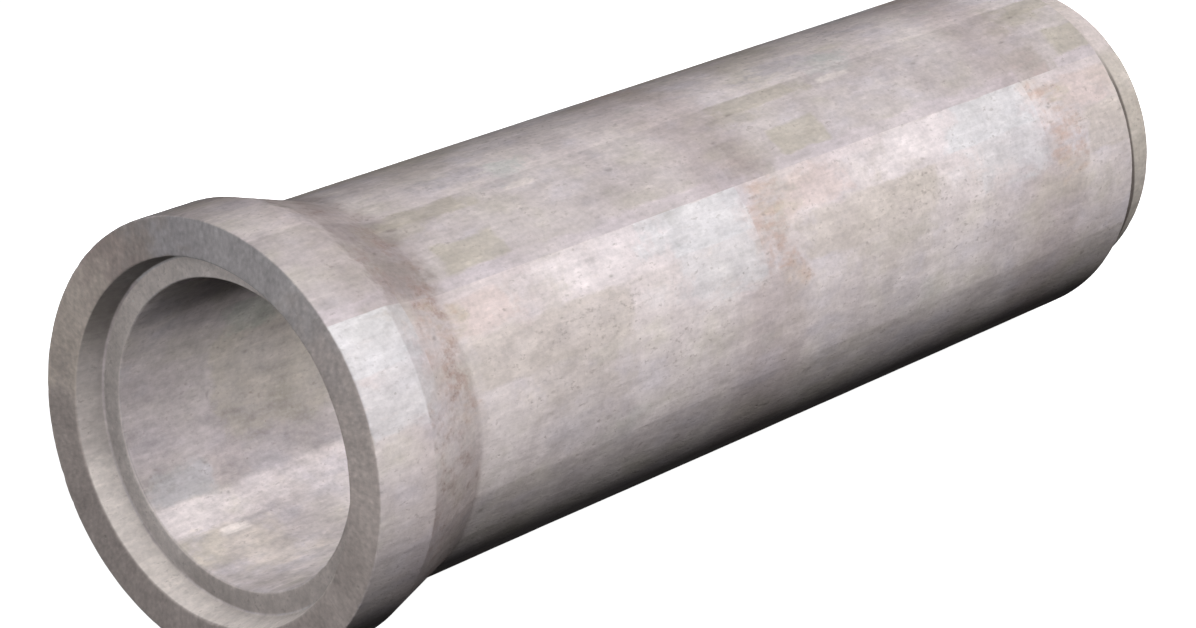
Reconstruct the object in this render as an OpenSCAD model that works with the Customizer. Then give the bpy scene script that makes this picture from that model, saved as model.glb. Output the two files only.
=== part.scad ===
// Concrete culvert pipe with a bell at one end and a spigot at the other.
// It lies on level ground at z = 0, bell towards -X, and rests on the bell and on the far end of the barrel.

/* [Barrel] */
// Inside diameter of the pipe
bore_d = 600; // [300:25:1200]
// Thickness of the barrel wall
wall = 85; // [75:5:150]
// Length from the face of the bell to the end of the spigot
overall_l = 2630; // [1500:10:3500]

/* [Spigot] */
// Length of the spigot
spigot_l = 125; // [80:1:200]
// Depth of the step from the barrel down to the spigot
spigot_step = 32; // [10:1:40]
// Length of the tapered nose at the end of the spigot
nose_l = 60; // [20:1:75]
// How much the nose narrows in diameter from its root to its end
nose_draft = 18; // [0:2:30]

/* [Bell] */
// Gap all round between the full width of a spigot and the mouth of the socket that it enters
joint_gap = 3; // [1:0.5:10]
// Thickness of the bell's wall round the mouth of its socket
bell_wall = 79; // [50:1:150]
// Length of the bell's cylindrical band
bell_band_l = 148; // [100:1:300]
// Length of the taper from the bell down to the barrel
bell_taper_l = 173; // [80:1:400]
// Depth of the socket from the face of the bell to its shoulder
socket_depth = 62; // [40:1:150]
// How much the socket narrows in diameter from its mouth to its shoulder
socket_draft = 20; // [0:2:30]

/* [Edges] */
// Width of the chamfer on every edge
edge_chamfer = 4; // [1:0.5:8]

/* [Hidden] */
$fn = 180;

bore_r = bore_d / 2;
barrel_r = bore_r + wall;
barrel_end = overall_l - spigot_l;
spigot_r = barrel_r - spigot_step;
nose_r = spigot_r - nose_draft / 2;
mouth_r = spigot_r + joint_gap;
shoulder_r = mouth_r - socket_draft / 2;
bell_r = mouth_r + bell_wall;

// The bell's band and the barrel's end touch the ground together, so the axis leans by this angle.
lean = atan((bell_r - barrel_r) / (barrel_end - edge_chamfer - bell_band_l));
// Height of the axis above the ground at the face of the bell.
face_height = bell_r * cos(lean) + bell_band_l * sin(lean);
// Ends of the leaning pipe along X, measured from the axis at the face of the bell.
x_low = -(bell_r - edge_chamfer) * sin(lean);
x_high = overall_l * cos(lean) + (nose_r - edge_chamfer) * sin(lean);

// Half of the pipe's lengthwise section: radius across, distance from the bell's face upwards.
module wall_section() {
    polygon([
        [bell_r - edge_chamfer, 0],
        [bell_r, edge_chamfer],
        [bell_r, bell_band_l],
        [barrel_r, bell_band_l + bell_taper_l],
        [barrel_r, barrel_end - edge_chamfer],
        [barrel_r - edge_chamfer, barrel_end],
        [spigot_r, barrel_end],
        [spigot_r, overall_l - nose_l],
        [nose_r, overall_l - edge_chamfer],
        [nose_r - edge_chamfer, overall_l],
        [bore_r + edge_chamfer, overall_l],
        [bore_r, overall_l - edge_chamfer],
        [bore_r, socket_depth + edge_chamfer],
        [bore_r + edge_chamfer, socket_depth],
        [shoulder_r, socket_depth],
        [mouth_r, edge_chamfer],
        [mouth_r + edge_chamfer, 0],
    ]);
}

module pipe() {
    color([0.74, 0.71, 0.70])
        translate([-(x_low + x_high) / 2, 0, face_height])
            rotate([0, 90 + lean, 0])
                rotate_extrude()
                    wall_section();
}

pipe();
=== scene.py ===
"""Concrete culvert pipe: a weathered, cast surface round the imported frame, with its camera, floor and lights."""

import math

import bpy
import numpy as np
from mathutils import Matrix, Vector


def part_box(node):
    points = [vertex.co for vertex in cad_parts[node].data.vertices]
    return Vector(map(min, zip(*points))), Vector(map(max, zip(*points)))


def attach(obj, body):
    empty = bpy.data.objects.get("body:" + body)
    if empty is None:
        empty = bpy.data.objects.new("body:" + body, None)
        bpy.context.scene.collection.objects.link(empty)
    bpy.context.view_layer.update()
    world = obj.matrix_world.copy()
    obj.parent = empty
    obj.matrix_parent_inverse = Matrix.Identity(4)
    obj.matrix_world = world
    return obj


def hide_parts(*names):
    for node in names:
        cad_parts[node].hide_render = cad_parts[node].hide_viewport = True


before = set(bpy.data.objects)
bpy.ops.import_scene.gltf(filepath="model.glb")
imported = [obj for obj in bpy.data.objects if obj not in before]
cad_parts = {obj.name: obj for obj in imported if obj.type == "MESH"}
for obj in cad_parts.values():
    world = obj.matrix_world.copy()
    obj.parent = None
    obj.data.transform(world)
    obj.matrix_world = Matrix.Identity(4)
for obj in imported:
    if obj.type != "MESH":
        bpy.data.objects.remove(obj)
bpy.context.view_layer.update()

# ---------------------------------------------------------------- the pipe's own axes
# Lengths along the pipe are metres from the face of the bell. Angles go round it in degrees, 0 at the
# top and growing towards -Y, the side that the camera sees.
BELL_R, BARREL_R, BORE_R = 0.435, 0.385, 0.300
MOUTH_R, SHOULDER_R, SPIGOT_R, NOSE_R = 0.356, 0.346, 0.353, 0.344
BAND_END, TAPER_END, SHOULDER_AT = 0.148, 0.321, 0.062
BARREL_END, NOSE_START, PIPE_END = 2.505, 2.570, 2.630
CHAMFER = 0.004

LEAN = math.atan((BELL_R - BARREL_R) / (BARREL_END - CHAMFER - BAND_END))
COS_LEAN, SIN_LEAN = math.cos(LEAN), math.sin(LEAN)
FACE_HEIGHT = BELL_R * COS_LEAN + BAND_END * SIN_LEAN
FACE_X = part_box("pipe")[0][0] + (BELL_R - CHAMFER) * SIN_LEAN


def to_row(along, across_y, up):
    """Pipe coordinates to the row frame."""
    return (FACE_X + COS_LEAN * along + SIN_LEAN * up, across_y,
            FACE_HEIGHT - SIN_LEAN * along + COS_LEAN * up)


def srgb(r, g, b):
    """An 8-bit display colour as linear light."""
    def one(v):
        v /= 255
        return v / 12.92 if v <= 0.04045 else ((v + 0.055) / 1.055) ** 2.4
    return one(r), one(g), one(b), 1.0


# ---------------------------------------------------------------- smooth noise for the mesh
HASH_X, HASH_Y, HASH_Z, HASH_SEED, HASH_MIX = 73856093, 19349663, 83492791, 2654435761, 1274126177
LATTICE_SHIFT = 1000.0  # keeps the lattice's cells positive


def lattice(ix, iy, iz, seed):
    """A fixed random number from 0 to 1 for each lattice point."""
    h = (ix * HASH_X) ^ (iy * HASH_Y) ^ (iz * HASH_Z) ^ (seed * HASH_SEED)
    h = (h ^ (h >> 13)) * HASH_MIX & 0xFFFFFFFF
    return ((h ^ (h >> 16)) & 0xFFFF) / 65535.0


def noise(points, size, seed):
    """Value noise from 0 to 1 with features about size metres across."""
    p = points / size + LATTICE_SHIFT
    i = np.floor(p).astype(np.int64)
    f = p - i
    f = f * f * (3 - 2 * f)
    total = 0.0
    for dx in (0, 1):
        for dy in (0, 1):
            for dz in (0, 1):
                w = (f[:, 0] if dx else 1 - f[:, 0]) * (f[:, 1] if dy else 1 - f[:, 1])
                w = w * (f[:, 2] if dz else 1 - f[:, 2])
                total = total + w * lattice(i[:, 0] + dx, i[:, 1] + dy, i[:, 2] + dz, seed)
    return total


# ---------------------------------------------------------------- the lengthwise section
# Each corner: along, radius, rounding, spacing of the rings up to the next corner, rings are fine there.
CORNERS = [
    (0.0, BELL_R, 0.004, 0.0075, True),
    (BAND_END, BELL_R, 0.012, 0.0090, True),
    (TAPER_END, BARREL_R, 0.035, 0.0280, False),
    (BARREL_END, BARREL_R, 0.006, 0.0070, False),
    (BARREL_END, SPIGOT_R, 0.004, 0.0090, False),
    (NOSE_START, SPIGOT_R, 0.040, 0.0090, False),
    (PIPE_END, NOSE_R, 0.007, 0.0070, False),
    (PIPE_END, BORE_R, 0.006, 0.0400, False),
    (SHOULDER_AT, BORE_R, 0.006, 0.0060, True),
    (SHOULDER_AT, SHOULDER_R, 0.005, 0.0070, True),
    (0.0, MOUTH_R, 0.006, 0.0060, True),
]
FINE, COARSE = 512, 256  # points in a ring
FINE_BORE = 0.10  # the bore's rings are fine this far past the shoulder
SHARP_HALF_ANGLE = math.radians(65)  # a corner with a smaller half angle wears and gets more steps
SHARP_STEPS, BLUNT_STEPS = 5, 3


def rounded_corner(before, corner, after, rounding):
    """Points of the arc that rounds a corner, and whether the corner is sharp."""
    to_a = (before - corner) / np.linalg.norm(before - corner)
    to_c = (after - corner) / np.linalg.norm(after - corner)
    half = math.acos(float(np.clip(to_a @ to_c, -1, 1))) / 2
    reach = rounding / math.tan(half)
    start, end = corner + to_a * reach, corner + to_c * reach
    sharp = half < SHARP_HALF_ANGLE
    steps = SHARP_STEPS if sharp else BLUNT_STEPS
    centre = corner + (to_a + to_c) / np.linalg.norm(to_a + to_c) * rounding / math.sin(half)
    first = math.atan2(*(start - centre)[::-1])
    last = math.atan2(*(end - centre)[::-1])
    sweep = (last - first + math.pi) % (2 * math.pi) - math.pi
    angles = [first + sweep * j / steps for j in range(steps + 1)]
    return [centre + rounding * np.array([math.cos(a), math.sin(a)]) for a in angles], sharp


def section():
    """Rings of the section: (along, radius), outward normal, distance to the nearest sharp corner, points."""
    count = len(CORNERS)
    corners = [np.array(corner[:2]) for corner in CORNERS]
    arcs = [rounded_corner(corners[k - 1], corners[k], corners[(k + 1) % count], CORNERS[k][2])
            for k in range(count)]
    places, sizes = [], []
    for k in range(count):
        arc = arcs[k][0]
        *_, spacing, fine = CORNERS[k]
        places += arc
        sizes += [FINE if fine or CORNERS[k - 1][4] else COARSE] * len(arc)
        run = arcs[(k + 1) % count][0][0] - arc[-1]
        steps = max(2, round(float(np.linalg.norm(run)) / spacing))
        for t in np.arange(1, steps) / steps:
            place = arc[-1] + run * t
            near_bell = place[0] < SHOULDER_AT + FINE_BORE and place[1] < BORE_R + 0.001
            places.append(place)
            sizes.append(FINE if fine or near_bell else COARSE)
    places = np.array(places)
    tangent = np.roll(places, -1, 0) - np.roll(places, 1, 0)
    tangent /= np.linalg.norm(tangent, axis=1)[:, None]
    normal = np.stack([-tangent[:, 1], tangent[:, 0]], 1)
    sharp_at = np.array([corners[k] for k in range(count) if arcs[k][1]])
    edge = np.min(np.linalg.norm(places[:, None] - sharp_at[None], axis=2), axis=1)
    return places, normal, edge, sizes


# Unevenness of a cast wall, slow and then fine: squeeze along the pipe, size, seed, depth, in metres.
UNEVENNESS = [(0.45, 0.16, 3, 0.0011), (0.5, 0.035, 5, 0.0005)]
WEAR_REACH, WEAR_DEPTH = 0.011, 0.0022  # how far from a corner it is worn, and how deep


def corner_wear(where, edge):
    """Wear from 0: a little everywhere on a corner, more in patches, and small bites here and there."""
    near = np.clip(1 - edge / WEAR_REACH, 0, 1)
    worn = noise(where, 0.060, 11)
    bite = noise(where, 0.024, 17)
    chip = np.clip((worn * 0.5 + bite * 0.5 - 0.66) / 0.16, 0, 1)
    fine_bite = np.clip((noise(where, 0.011, 23) - 0.62) / 0.3, 0, 1)
    return near * (0.12 + 0.25 * worn + 0.95 * chip ** 1.3 + 0.30 * fine_bite)


def ring_faces(starts, sizes):
    """Faces between neighbouring rings; a ring may have twice the points of its neighbour."""
    faces = []
    count = len(sizes)
    for k in range(count):
        m = (k + 1) % count
        a, b, na, nb = starts[k], starts[m], sizes[k], sizes[m]
        if na == nb:
            j = np.arange(na)
            q = (j + 1) % na
            faces += np.stack([a + j, a + q, b + q, b + j], 1).tolist()
        elif na > nb:
            for j in range(nb):
                q = (j + 1) % nb
                a0, a1, a2 = a + 2 * j, a + 2 * j + 1, a + (2 * j + 2) % na
                faces += [[a0, a1, b + j], [a1, b + q, b + j], [a1, a2, b + q]]
        else:
            for j in range(na):
                q = (j + 1) % na
                b0, b1, b2 = b + 2 * j, b + 2 * j + 1, b + (2 * j + 2) % nb
                faces += [[a + j, b1, b0], [a + j, a + q, b1], [a + q, b2, b1]]
    return faces


def build_pipe():
    """The whole surface as one closed mesh, pressed inwards by its unevenness and wear."""
    place, normal, edge, sizes = section()
    starts = np.concatenate([[0], np.cumsum(sizes)])
    along, radius = np.repeat(place[:, 0], sizes), np.repeat(place[:, 1], sizes)
    n_along, n_radius = np.repeat(normal[:, 0], sizes), np.repeat(normal[:, 1], sizes)
    angle = np.concatenate([2 * math.pi * np.arange(size) / size for size in sizes])

    where = np.stack([along, -radius * np.sin(angle), radius * np.cos(angle)], 1)
    wear = corner_wear(where, np.repeat(edge, sizes))
    depth = 0.0
    for squeeze, size, seed, amount in UNEVENNESS:
        depth = depth + amount * noise(where * [squeeze, 1, 1], size, seed)
    depth = depth + WEAR_DEPTH * wear
    along, radius = along - n_along * depth, radius - n_radius * depth
    x, y, z = to_row(along, -radius * np.sin(angle), radius * np.cos(angle))

    faces = ring_faces(starts, sizes)
    mesh = bpy.data.meshes.new("pipe_surface")
    mesh.from_pydata(np.stack([x, y, z], 1).tolist(), [], faces)
    mesh.attributes.new("wear", "FLOAT", "POINT").data.foreach_set("value", wear.astype(np.float32))
    mesh.update()
    mesh.polygons.foreach_set("use_smooth", np.ones(len(faces), bool))
    obj = bpy.data.objects.new("pipe_surface", mesh)
    bpy.context.scene.collection.objects.link(obj)
    return obj


# ---------------------------------------------------------------- shader helpers
class Graph:
    """Adds shader nodes to a tree and joins them. A value may be a number or another node's output."""

    def __init__(self, tree):
        self.tree = tree

    def add(self, kind, **settings):
        node = self.tree.nodes.new(kind)
        for key, value in settings.items():
            setattr(node, key, value)
        return node

    def put(self, socket, value):
        if isinstance(value, bpy.types.NodeSocket):
            self.tree.links.new(value, socket)
        else:
            socket.default_value = value

    def math(self, operation, *values):
        node = self.add("ShaderNodeMath", operation=operation)
        for k, value in enumerate(values):
            self.put(node.inputs[k], value)
        return node.outputs[0]

    def product(self, *values):
        total = values[0]
        for value in values[1:]:
            total = self.math("MULTIPLY", total, value)
        return total

    def vector(self, x, y, z):
        node = self.add("ShaderNodeCombineXYZ")
        for k, value in enumerate((x, y, z)):
            self.put(node.inputs[k], value)
        return node.outputs[0]

    def noise(self, vector, scale, detail, rough):
        node = self.add("ShaderNodeTexNoise")
        self.put(node.inputs["Vector"], vector)
        node.inputs["Scale"].default_value = scale
        node.inputs["Detail"].default_value = detail
        node.inputs["Roughness"].default_value = rough
        return node.outputs["Fac"]

    def step(self, value, low, high, out_low=0.0, out_high=1.0):
        """Smooth step from out_low at low to out_high at high; low may be the larger."""
        node = self.add("ShaderNodeMapRange", interpolation_type="SMOOTHSTEP")
        for k, v in enumerate((value, low, high, out_low, out_high)):
            self.put(node.inputs[k], v)
        return node.outputs[0]

    def between(self, value, low, high, soft):
        """1 from low to high, fading to 0 over soft on each side of both."""
        return self.product(self.step(value, low - soft, low + soft),
                            self.step(value, high + soft, high - soft))

    def mix(self, factor, a, b, blend="MIX"):
        node = self.add("ShaderNodeMix", data_type="RGBA", blend_type=blend, clamp_factor=True)
        self.put(node.inputs[0], factor)
        self.put(node.inputs[6], a)
        self.put(node.inputs[7], b)
        return node.outputs[2]

    def ramp(self, stops):
        """A colour ramp's node, from stops of (position, linear colour)."""
        node = self.add("ShaderNodeValToRGB")
        elements = node.color_ramp.elements
        while len(elements) < len(stops):
            elements.new(1.0)
        for element, (at, colour) in zip(elements, stops):
            element.position = at
            element.color = colour
        return node

    def levels(self, value, stops):
        """Piecewise brightness of value, from stops of (position, level)."""
        node = self.ramp([(at, (level, level, level, 1)) for at, level in stops])
        self.put(node.inputs[0], value)
        return node.outputs[0]


# ---------------------------------------------------------------- the concrete's marks
# Colours are as seen in full light. The casting's marks repeat about every metre along the pipe and every
# quarter turn round it: a cell starts CELL_START metres from the face and CELL_TURN degrees from the top.
CELL_START, CELL_TURN, CELL_DEGREES, MM = 0.2, 45.0, 90.0, 1000.0
PINK_GREY, PALE_GREY, OLIVE_GREY, LAVENDER = (207, 196, 196), (216, 206, 205), (206, 198, 187), (207, 199, 206)

RAGGED = 9.0  # how far the ragged noises move a mark's edge, in times its softness

# Brightness round a quarter turn outside, and round the whole bore from its lowest line.
OUTER_BANDS = [
    (0.0, 0.99), (0.100, 1.06), (0.190, 1.10), (0.198, 1.03), (0.332, 1.03), (0.337, 1.07), (0.42, 1.10),
    (0.50, 1.10), (0.505, 1.15), (0.60, 1.19), (0.662, 1.19), (0.670, 1.01), (0.83, 0.93), (0.838, 0.88),
    (0.985, 0.88), (1.0, 0.90)]
BORE_BANDS = [
    (0.0, 0.92), (0.082, 0.86), (0.086, 1.00), (0.105, 1.08), (0.122, 1.08), (0.127, 0.76), (0.166, 0.70),
    (0.208, 0.72), (0.25, 0.78), (0.29, 0.84), (0.35, 0.90), (0.5, 0.90), (0.75, 0.95), (1.0, 0.92)]
# Tone of the bell's face, round the whole turn from its lowest line.
FACE_TONES = [
    (0.0, (196, 184, 180)), (0.17, (184, 172, 168)), (0.24, (200, 188, 182)), (0.28, (222, 209, 198)),
    (0.35, (222, 209, 199)), (0.385, (190, 174, 168)), (0.42, (178, 167, 163)), (0.47, (183, 180, 185)),
    (0.58, (188, 185, 188)), (0.64, (192, 183, 181)), (0.70, (210, 198, 193)), (0.76, (220, 207, 202)),
    (0.80, (200, 188, 183)), (1.0, (196, 184, 180))]

# A patch: start and end in mm along its cell, start and end in degrees round it, softness of its ends and
# of its sides, colour, strength.
PATCHES = [
    # pale band with a pink cast, then a cool grey-white one up to the end of the cell
    (430, 820, 0, 15, 90, 0.4, (230, 220, 222), 0.75),
    (600, 860, 13, 29, 40, 2.2, (225, 214, 214), 0.65),
    (700, 996, 0, 14, 40, 0.4, (219, 217, 220), 0.75),
    (740, 990, 12, 27, 30, 3.5, (214, 211, 214), 0.65),
    (430, 640, 5, 10, 40, 2.0, (238, 228, 229), 0.55),
    (80, 430, -1, 3, 60, 1.0, (223, 210, 211), 0.60),
    # warm beige stretch
    (150, 590, 15, 30, 22, 1.0, (205, 194, 187), 0.65),
    (130, 300, 2, 14, 40, 2.0, (219, 200, 196), 0.60),
    (300, 520, 31, 45, 60, 3.0, (206, 195, 188), 0.50),
    # olive stains
    (130, 390, 60, 66, 40, 0.7, (192, 183, 170), 0.65),
    (60, 240, 65, 71, 40, 2.0, (188, 179, 166), 0.50),
    (190, 352, 75.5, 86, 12, 0.7, (186, 178, 163), 0.60),
    (20, 130, 76, 88, 30, 3.0, (176, 167, 160), 0.50),
    (35, 120, 31, 46, 24, 3.5, (194, 184, 175), 0.25),
    (430, 560, 30, 35, 40, 1.2, (194, 186, 176), 0.45),
    (330, 440, 46, 55, 40, 2.0, (196, 188, 178), 0.40),
    # pinkish lower edge of the darker band, and lavender-grey above the pale line
    (120, 1000, 86, 91, 80, 0.9, (208, 197, 202), 0.60),
    (330, 520, 48, 56, 50, 2.0, (198, 190, 198), 0.60),
    (510, 600, 52, 58, 30, 1.8, (200, 203, 200), 0.55),
    (460, 580, 56.0, 61.0, 30, 2.5, (204, 204, 202), 0.45),
    # short bright streaks
    (470, 560, 63.0, 65.2, 16, 0.5, (230, 220, 216), 0.75),
    (640, 700, 20, 24, 20, 1.5, (234, 226, 228), 0.50),
    (960, 1000, 46, 50, 20, 1.5, (214, 209, 205), 0.60),
]
# rust, pink and ochre mottles just past the start of a cell
MOTTLES = [
    (20, 110, 2, 14, 36, 3.4, (203, 180, 171), 0.80),
    (15, 95, 14, 28, 32, 3.4, (197, 173, 164), 0.80),
    (70, 150, 4, 12, 30, 3.0, (196, 186, 168), 0.60),
    (35, 100, 26, 34, 30, 3.0, (206, 188, 174), 0.60),
    (20, 90, 82, 88, 30, 2.5, (196, 177, 176), 0.55),
]
# the bore's own marks, in mm from the face of the bell and in degrees round the pipe
BORE_PATCHES = [
    (-60, 330, -148, -136, 90, 1.4, (222, 212, 213), 0.70),
    (90, 235, -135, -121, 24, 2.2, (182, 180, 185), 0.60),
    (40, 160, -165, -151, 50, 3.0, (199, 189, 173), 0.55),
    (120, 300, -178, -152, 60, 3.0, (212, 200, 190), 0.50),
    (180, 242, -154.5, -151.3, 12, 0.5, (236, 226, 222), 0.90),
    (302, 640, -120, -76, 14, 2.0, (180, 171, 159), 0.55),
    (340, 480, -81, -68, 20, 1.5, (176, 178, 170), 0.60),
    (230, 310, -133, -119, 20, 2.0, (188, 176, 175), 0.60),
    (-40, 290, -121, -84, 14, 1.6, (186, 176, 179), 0.45),
]
# Soft dark blots: place along, degrees round, reach in mm, reach in degrees.
BLOTS = [(738, 71, 13, 1.1), (40, 74, 16, 0.9), (568, 12, 14, 0.9), (42, 11, 9, 0.8), (150, 66, 18, 0.9)]
BORE_BLOTS = [(284, -101, 9, 1.7), (64, -103.5, 16, 0.6), (230, -124, 10, 1.2), (398, -90, 12, 1.5),
              (250, -138, 9, 1.0), (108, -120, 9, 1.4)]
BLOT_COLOUR, BLOT_STRENGTH = (132, 122, 118), 0.5
FLECK_COLOUR, FLECK_STRENGTH = (178, 151, 139), 0.55


# ---------------------------------------------------------------- the concrete
def concrete():
    """The weathered concrete, in pipe coordinates; colour holds what is painted so far.

    The order in which the nodes are made matters. Cycles holds a limited number of results at once, and made in
    another order the same graph can overflow that ("out of SVM stack space") and render black.
    """
    material = bpy.data.materials.new("weathered_concrete")
    material.use_nodes = True
    tree = material.node_tree
    tree.nodes.clear()
    g = Graph(tree)

    # pipe coordinates from the row frame
    mapping = g.add("ShaderNodeMapping", vector_type="POINT")
    mapping.inputs["Rotation"].default_value = (0, -LEAN, 0)
    mapping.inputs["Location"].default_value = (
        -(COS_LEAN * FACE_X - SIN_LEAN * FACE_HEIGHT), 0, -(SIN_LEAN * FACE_X + COS_LEAN * FACE_HEIGHT))
    g.put(mapping.inputs["Vector"], g.add("ShaderNodeTexCoord").outputs["Object"])
    split = g.add("ShaderNodeSeparateXYZ")
    g.put(split.inputs[0], mapping.outputs[0])
    along, across, up = split.outputs
    place = mapping.outputs[0]
    radius = g.math("SQRT", g.math("ADD", g.math("MULTIPLY", across, across), g.math("MULTIPLY", up, up)))
    turn = g.math("MULTIPLY", g.math("ARCTAN2", g.math("MULTIPLY", across, -1.0), up), 180 / math.pi)
    from_top = g.math("ABSOLUTE", turn)

    # where each part of the surface is
    inside = g.step(radius, BORE_R + 0.004, BORE_R + 0.002)
    on_face = g.product(g.step(along, 0.008, 0.003), g.step(radius, BELL_R - 0.001, BELL_R - 0.005))
    on_shoulder = g.product(g.step(along, SHOULDER_AT + 0.006, SHOULDER_AT + 0.002),
                       g.between(along, 0.040, 1.0, 0.002),
                       g.step(radius, SHOULDER_R - 0.001, SHOULDER_R - 0.004),
                       g.step(radius, BORE_R + 0.002, BORE_R + 0.005))
    on_end = g.product(g.step(along, PIPE_END - 0.006, PIPE_END - 0.002), g.step(radius, NOSE_R, NOSE_R - 0.005))
    in_socket = g.product(g.between(along, 0.004, SHOULDER_AT - 0.001, 0.002),
                     g.step(radius, MOUTH_R + 0.004, MOUTH_R + 0.001))

    def stretched(factor):
        """The place for a noise whose marks are drawn out along the pipe, by 1 / factor."""
        return g.vector(g.math("MULTIPLY", along, factor), across, up)

    # noises, with scale, detail and roughness: streaks, clouds, mottles, specks, pebbly grain, ragged edges
    streak = g.noise(stretched(0.20), 105.0, 3.0, 0.62)
    broad = g.noise(stretched(0.22), 42.0, 3.0, 0.65)
    cloud = g.noise(place, 6.0, 4.0, 0.60)
    mottle = g.noise(stretched(0.6), 26.0, 5.0, 0.72)
    tint_noise = g.noise(stretched(0.5), 11.0, 3.0, 0.6)
    speck = g.noise(stretched(0.55), 120.0, 3.0, 0.6)
    pebble = g.noise(stretched(0.85), 105.0, 2.0, 0.6)
    ragged_a = g.math("SUBTRACT", g.noise(place, 14.0, 4.0, 0.65), 0.5)
    ragged_t = g.math("SUBTRACT", g.noise(stretched(0.35), 21.0, 4.0, 0.65), 0.5)

    # where a point is in its cell
    cell = g.math("MULTIPLY", g.math("FRACT", g.math("SUBTRACT", along, CELL_START)), MM)
    lap = g.math("FRACT", g.math("DIVIDE", g.math("SUBTRACT", turn, CELL_TURN), CELL_DEGREES))
    lap_degrees = g.math("MULTIPLY", lap, CELL_DEGREES)
    along_mm = g.math("MULTIPLY", along, MM)
    outside = g.math("SUBTRACT", 1.0, inside)

    def region(frame_a, frame_t, a0, a1, t0, t1, soft_a, soft_t):
        """A ragged, soft-edged oblong, from a0 to a1 along and t0 to t1 round."""
        a = g.math("MULTIPLY_ADD", ragged_a, RAGGED * soft_a, frame_a)
        t = g.math("MULTIPLY_ADD", ragged_t, RAGGED * soft_t, frame_t)
        return g.math("MULTIPLY", g.between(a, a0, a1, soft_a), g.between(t, t0, t1, soft_t))

    def paint(colour, table, frame_a, frame_t, where, low, high, floor):
        """Patches, at floor times their strength where the broad noise is low, up to all of it at high."""
        for a0, a1, t0, t1, soft_a, soft_t, tint, strength in table:
            mask = g.product(region(frame_a, frame_t, a0, a1, t0, t1, soft_a, soft_t), where,
                        g.step(broad, low, high, floor * strength, strength))
            colour = g.mix(mask, colour, srgb(*tint))
        return colour

    def blot(colour, table, frame_a, frame_t, where):
        """Small dark spots of one colour."""
        for at, degrees, reach, reach_degrees in table:
            reach, reach_degrees = reach / 2, reach_degrees / 2
            spot = region(frame_a, frame_t, at - reach, at + reach, degrees - reach_degrees,
                          degrees + reach_degrees, reach, reach_degrees)
            mask = g.product(spot, where, BLOT_STRENGTH)
            colour = g.mix(mask, colour, srgb(*BLOT_COLOUR))
        return colour

    # base tone: pink-grey concrete, with bands round the quarter turn and other bands in the bore
    base = g.mix(g.step(cloud, 0.35, 0.65), srgb(*PINK_GREY), srgb(*PALE_GREY))
    base = g.mix(g.step(tint_noise, 0.48, 0.72, 0.0, 0.55), base, srgb(*OLIVE_GREY))
    base = g.mix(g.step(tint_noise, 0.50, 0.30, 0.0, 0.55), base, srgb(*LAVENDER))
    outer_band = g.levels(lap, OUTER_BANDS)
    turn_part = g.math("DIVIDE", g.math("ADD", turn, 180.0), 360.0)
    bore_band = g.levels(turn_part, BORE_BANDS)
    band = g.mix(inside, outer_band, bore_band)
    colour = g.mix(1.0, base, band, "MULTIPLY")
    # the patches, weaker on the underside
    low_side = g.step(from_top, 84.0, 98.0)
    fade = g.math("MULTIPLY", outside, g.math("MULTIPLY_ADD", low_side, -0.65, 1.0))
    colour = paint(colour, PATCHES, cell, lap_degrees, fade, 0.20, 0.50, 0.70)
    # the cone's ends are crisp at the sides and run out over 50 mm or so at the top
    spread = g.step(from_top, 52.0, 40.0, 0.0, 0.050)
    blurred = g.math("MULTIPLY_ADD", g.math("MULTIPLY", ragged_a, spread), 3.0, along)
    cone = g.product(g.step(blurred, BAND_END - 0.004, g.math("MULTIPLY_ADD", spread, 0.5, BAND_END + 0.004)),
                g.step(blurred, g.math("ADD", spread, TAPER_END + 0.012),
                       g.math("MULTIPLY_ADD", spread, -0.4, TAPER_END - 0.006)), outside)
    # a slightly darker stretch where one cell meets the next, but for the pale band
    seam = g.math("MAXIMUM", g.step(cell, 840.0, 960.0), g.step(cell, 170.0, 60.0))
    seam = g.product(seam, g.step(g.math("MULTIPLY_ADD", ragged_t, 30.0, lap_degrees), 24.0, 32.0), outside,
                g.step(cloud, 0.25, 0.50, 0.4, 1.0), g.math("SUBTRACT", 1.0, cone))
    colour = g.mix(seam, colour, srgb(241, 238, 238), "MULTIPLY")
    colour = paint(colour, MOTTLES, cell, lap_degrees, outside, 0.34, 0.66, 0.0)
    # rust flecks
    flecks = g.product(region(cell, lap_degrees, 25.0, 125.0, 1.0, 32.0, 30.0, 4.0),
                       g.step(mottle, 0.47, 0.66), fade, FLECK_STRENGTH)
    colour = g.mix(flecks, colour, srgb(*FLECK_COLOUR))
    colour = paint(colour, BORE_PATCHES, along_mm, turn, inside, 0.20, 0.55, 0.55)
    colour = blot(colour, BLOTS, cell, lap_degrees, outside)
    colour = blot(colour, BORE_BLOTS, along_mm, turn, inside)

    # the cone behind the bell is darker, and the spigot beige under a pale top, with painted shade in its corner
    lit_side = g.between(turn, 46.0, 90.0, 8.0)
    dirty = g.product(cone, g.step(mottle, 0.42, 0.74), g.step(cloud, 0.36, 0.62))
    colour = g.mix(dirty, colour, srgb(172, 153, 147))
    # the cone's darkening is weaker on its lit side: painted light there
    colour = g.mix(g.math("MULTIPLY", cone, g.math("MULTIPLY_ADD", lit_side, -0.55, 1.0)), colour,
                   srgb(214, 210, 209), "MULTIPLY")
    on_spigot = g.product(g.step(along, BARREL_END - 0.001, BARREL_END + 0.003),
                          g.step(radius, BARREL_R - 0.006, BARREL_R - 0.012), outside)
    pale_top = g.step(from_top, 46.0, 40.0)
    colour = g.mix(g.math("MULTIPLY", on_spigot, 0.7), colour,
                   g.mix(pale_top, srgb(200, 191, 180), srgb(226, 213, 209)))
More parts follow.
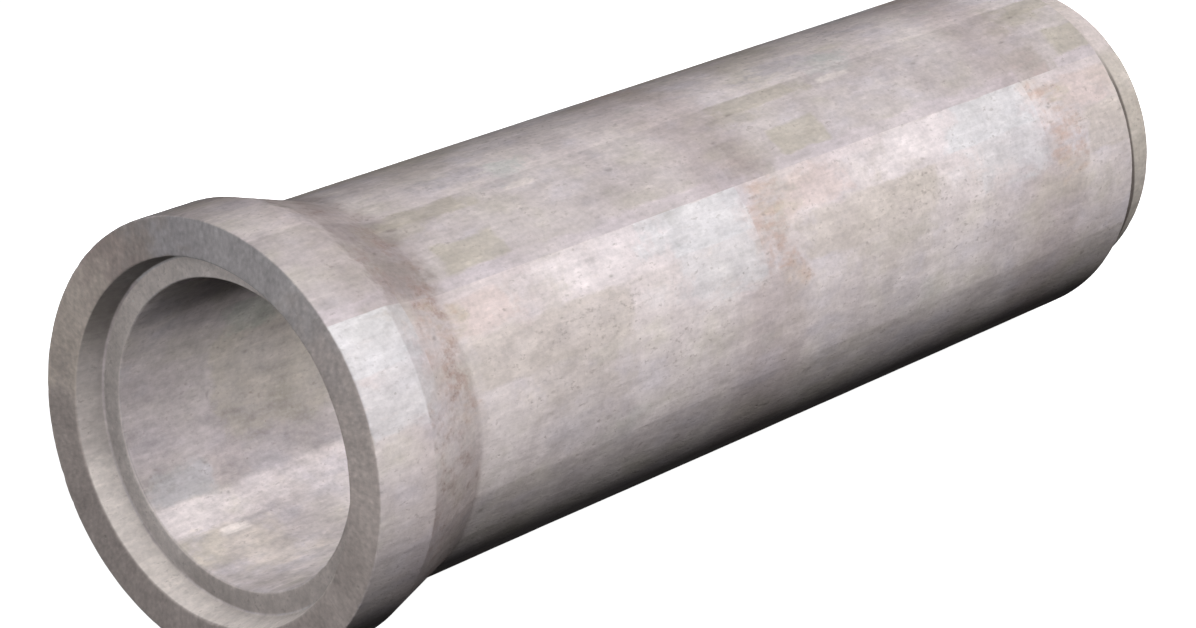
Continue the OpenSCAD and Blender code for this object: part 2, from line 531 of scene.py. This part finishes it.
    # painted shade in the corner: it widens towards the underside and is darkest along its outer edge
    reach = g.step(from_top, 75.0, 125.0, BARREL_END + 0.050, BARREL_END + 0.084)
    line_start = g.math("SUBTRACT", reach, g.step(from_top, 75.0, 125.0, 0.010, 0.024))
    corner_shade_spread = g.step(along, g.math("ADD", reach, 0.003), g.math("SUBTRACT", reach, 0.004))
    line = g.step(along, g.math("SUBTRACT", line_start, 0.006), line_start)
    corner = g.product(on_spigot, corner_shade_spread, g.math("MULTIPLY_ADD", line, 0.40, 0.40),
                       g.step(from_top, 40.0, 60.0, 0.12, 1.0))
    colour = g.mix(corner, colour, srgb(84, 73, 70))

    # flat rings of the bell: smoother and darker, brown, olive and blue-grey by turns
    ring_tone = g.mix(g.step(mottle, 0.30, 0.70), srgb(178, 168, 166), srgb(196, 188, 185))
    tone_node = g.ramp([(at, srgb(*tone)) for at, tone in FACE_TONES])
    g.put(tone_node.inputs[0], g.math("MULTIPLY_ADD", ragged_a, 0.16, turn_part))
    ring_tone = g.mix(0.75, ring_tone, tone_node.outputs[0])
    on_rings = g.math("MAXIMUM", on_face, on_end)
    colour = g.mix(on_rings, colour, ring_tone)
    # the shoulder is painted paler than the face, palest from -156 to -112 and from -62 to 14 degrees: painted
    # light where the socket shades it
    shoulder_painted_light = g.mix(g.between(turn, -112.0, -62.0, 16.0), srgb(252, 242, 238), srgb(226, 217, 214))
    shoulder_painted_light = g.mix(g.between(turn, -156.0, 14.0, 8.0), srgb(214, 204, 200), shoulder_painted_light)
    colour = g.mix(on_shoulder, colour, g.mix(0.8, ring_tone, shoulder_painted_light))
    # the socket wall: painted shade at its top, which faces down, and painted light low down, where it faces up
    colour = g.mix(g.math("MULTIPLY", in_socket, 0.85), colour,
                   g.mix(g.step(g.math("MULTIPLY_ADD", ragged_t, 20.0, from_top), 107.0, 113.0),
                         g.mix(g.step(from_top, 85.0, 60.0), srgb(196, 187, 183), srgb(140, 132, 128)),
                         srgb(236, 226, 220)))

    # streaks, clouds and grain over everything
    uneven = g.product(ragged_a, on_rings, 0.35)
    for source, amount in ((broad, 0.30), (mottle, 0.60), (cloud, 0.30)):
        uneven = g.math("MULTIPLY_ADD", g.math("SUBTRACT", source, 0.5), amount, uneven)
    shade = g.math("MULTIPLY_ADD", uneven, g.step(inside, 0.0, 1.0, 1.0, 1.6), 1.0)
    for source, amount in ((streak, 0.30), (pebble, 0.32)):
        shade = g.math("MULTIPLY_ADD", g.math("SUBTRACT", source, 0.5), amount, shade)
    pale_streaks = g.math("MULTIPLY", g.step(streak, 0.54, 0.72), g.step(broad, 0.48, 0.62))
    shade = g.math("MULTIPLY_ADD", pale_streaks, 0.08, shade)
    colour = g.mix(1.0, colour, g.vector(shade, shade, shade), "MULTIPLY")

    # dark specks in clusters, and a round air hole in a tenth of the Voronoi cells
    crowded = g.math("MAXIMUM", region(cell, lap_degrees, 580, 800, 33, 44, 40, 2.0),
                     g.math("MAXIMUM", region(cell, lap_degrees, 350, 660, 16, 29, 50, 2.5),
                            g.step(mottle, 0.45, 0.64, 0.15, 1.0)))
    deep_speck = g.step(speck, 0.54, 0.72)
    specks = g.product(deep_speck, crowded)
    cells = g.add("ShaderNodeTexVoronoi", feature="F1")
    g.put(cells.inputs["Vector"], stretched(0.75))
    cells.inputs["Scale"].default_value = 32.0
    pick = g.add("ShaderNodeSeparateColor")
    g.put(pick.inputs[0], cells.outputs["Color"])
    width = g.step(pick.outputs[0], 0.90, 1.0, 0.05, 0.14)
    holes = g.product(g.step(cells.outputs["Distance"], width, g.math("MULTIPLY", width, 0.4)),
                 g.step(pick.outputs[0], 0.90, 0.91))
    pits = g.math("MULTIPLY", g.math("MAXIMUM", g.math("MULTIPLY", holes, 0.8), specks),
                  g.math("SUBTRACT", 1.0, g.math("MULTIPLY", on_face, 0.7)))
    colour = g.mix(g.math("MULTIPLY", pits, 0.42), colour, srgb(122, 110, 105))

    # worn corners show paler concrete
    wear = g.add("ShaderNodeAttribute", attribute_name="wear").outputs["Fac"]
    colour = g.mix(g.step(wear, 0.45, 1.0, 0.0, 0.35), colour, srgb(206, 198, 190))

    # relief in millimetres
    height = g.math("MULTIPLY", streak, 0.8)
    for source, amount in ((mottle, 0.8), (deep_speck, -0.35), (holes, -1.6)):
        height = g.math("MULTIPLY_ADD", source, amount, height)
    bump = g.add("ShaderNodeBump")
    bump.inputs["Strength"].default_value = 0.5
    bump.inputs["Distance"].default_value = 0.001
    g.put(bump.inputs["Height"], height)

    shader = g.add("ShaderNodeBsdfPrincipled")
    shader.inputs["Specular IOR Level"].default_value = 0.25
    g.put(shader.inputs["Base Color"], colour)
    g.put(shader.inputs["Roughness"], g.step(mottle, 0.25, 0.75, 0.80, 0.95))
    g.put(shader.inputs["Normal"], bump.outputs[0])
    output = g.add("ShaderNodeOutputMaterial")
    g.put(output.inputs["Surface"], shader.outputs[0])
    return material


pipe = build_pipe()
pipe.data.materials.append(concrete())
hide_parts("pipe")
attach(pipe, "root")

# ---------------------------------------------------------------- floor
# It glows evenly, so it is plain white, and it isn't seen by the pipe, so it throws no light back.
FLOOR_SIDE = 60.0
floor_mesh = bpy.data.meshes.new("floor")
half = FLOOR_SIDE / 2
floor_corners = [(-half, -half, 0), (half, -half, 0), (half, half, 0), (-half, half, 0)]
floor_mesh.from_pydata(floor_corners, [], [(0, 1, 2, 3)])
floor = bpy.data.objects.new("floor", floor_mesh)
bpy.context.scene.collection.objects.link(floor)
floor_material = bpy.data.materials.new("floor_white")
floor_material.use_nodes = True
floor_shader = floor_material.node_tree.nodes["Principled BSDF"]
floor_shader.inputs["Base Color"].default_value = (0.90, 0.90, 0.90, 1)
floor_shader.inputs["Roughness"].default_value = 0.9
floor_shader.inputs["Specular IOR Level"].default_value = 0.0
floor_shader.inputs["Emission Color"].default_value = (1, 1, 1, 1)
floor_shader.inputs["Emission Strength"].default_value = 1.0
floor_material.cycles.emission_sampling = "NONE"
floor_mesh.materials.append(floor_material)
floor.visible_diffuse = False
floor.visible_glossy = False

# ---------------------------------------------------------------- light
scene = bpy.context.scene
scene.view_settings.view_transform = "Standard"
scene.cycles.diffuse_bounces = 0

world = bpy.data.worlds.new("studio")
world.use_nodes = True
background = world.node_tree.nodes["Background"]
background.inputs["Color"].default_value = (1, 1, 1, 1)
background.inputs["Strength"].default_value = 0.02
scene.world = world


def add_light(name, place, length, width, brightness):
    """A rectangular light at place, unseen by the camera. Its energy grows with its area."""
    data = bpy.data.lights.new(name, "AREA")
    data.shape = "RECTANGLE"
    data.size, data.size_y = length, width
    data.energy = brightness * math.pi * length * width
    light = bpy.data.objects.new(name, data)
    scene.collection.objects.link(light)
    light.location = place
    light.visible_camera = False
    return light


def strip_light(name, turn, reach, start, end, width, brightness, facing=None):
    """A strip along the pipe, reach from its axis at the angle turn, facing the axis or the angle facing."""
    t = math.radians(turn)
    place = to_row((start + end) / 2, -reach * math.sin(t), reach * math.cos(t))
    light = add_light(name, place, end - start, width, brightness)
    f = math.radians(turn + 180 if facing is None else facing)
    x_axis = Vector((COS_LEAN, 0, -SIN_LEAN))
    z_axis = -Vector((SIN_LEAN * math.cos(f), -math.sin(f), COS_LEAN * math.cos(f)))
    light.rotation_euler = Matrix((x_axis, z_axis.cross(x_axis), z_axis)).transposed().to_euler()


def end_light(name, along, across_y, up, size, brightness, target):
    """A square light aimed at the point target along the axis."""
    light = add_light(name, to_row(along, across_y, up), size, size, brightness)
    aim = Vector(to_row(target, 0, 0)) - light.location
    light.rotation_euler = aim.to_track_quat("-Z", "Y").to_euler()


# A long strip above the camera's side, a weaker one near the top, another low on the far side for the views
# from there, one along the bore facing its floor, and a soft light in front of each end.
strip_light("key", turn=53, reach=1.8, start=-1.5, end=4.5, width=0.3, brightness=9.8)
strip_light("top", turn=-8, reach=2.0, start=-1.5, end=4.5, width=0.3, brightness=1.6)
strip_light("back", turn=-98, reach=2.2, start=-1.0, end=4.0, width=0.3, brightness=13.0)
strip_light("bore", turn=0, reach=0.0, start=-0.05, end=2.55, width=0.08, brightness=6.8, facing=-147)
end_light("front", along=-3.0, across_y=-0.6, up=0.5, size=1.5, brightness=3.1, target=0.0)
end_light("rear", along=5.5, across_y=1.0, up=0.8, size=1.5, brightness=4.0, target=PIPE_END)

# ---------------------------------------------------------------- camera
IMAGE_WIDTH = 1196
FOCAL_PIXELS, SENSOR = 3931.9, 36.0
CAMERA_PLACE = (-5.9310, -4.8465, 3.2245)
CAMERA_HEADING, CAMERA_DOWN = 40.2453, 20.8013
camera_data = bpy.data.cameras.new("camera")
camera_data.sensor_width = SENSOR
camera_data.lens = FOCAL_PIXELS / IMAGE_WIDTH * SENSOR
camera_data.clip_end = 200
camera = bpy.data.objects.new("camera", camera_data)
camera.location = CAMERA_PLACE
camera.rotation_euler = (math.radians(90 - CAMERA_DOWN), 0, math.radians(CAMERA_HEADING - 90))
scene.collection.objects.link(camera)
scene.camera = camera
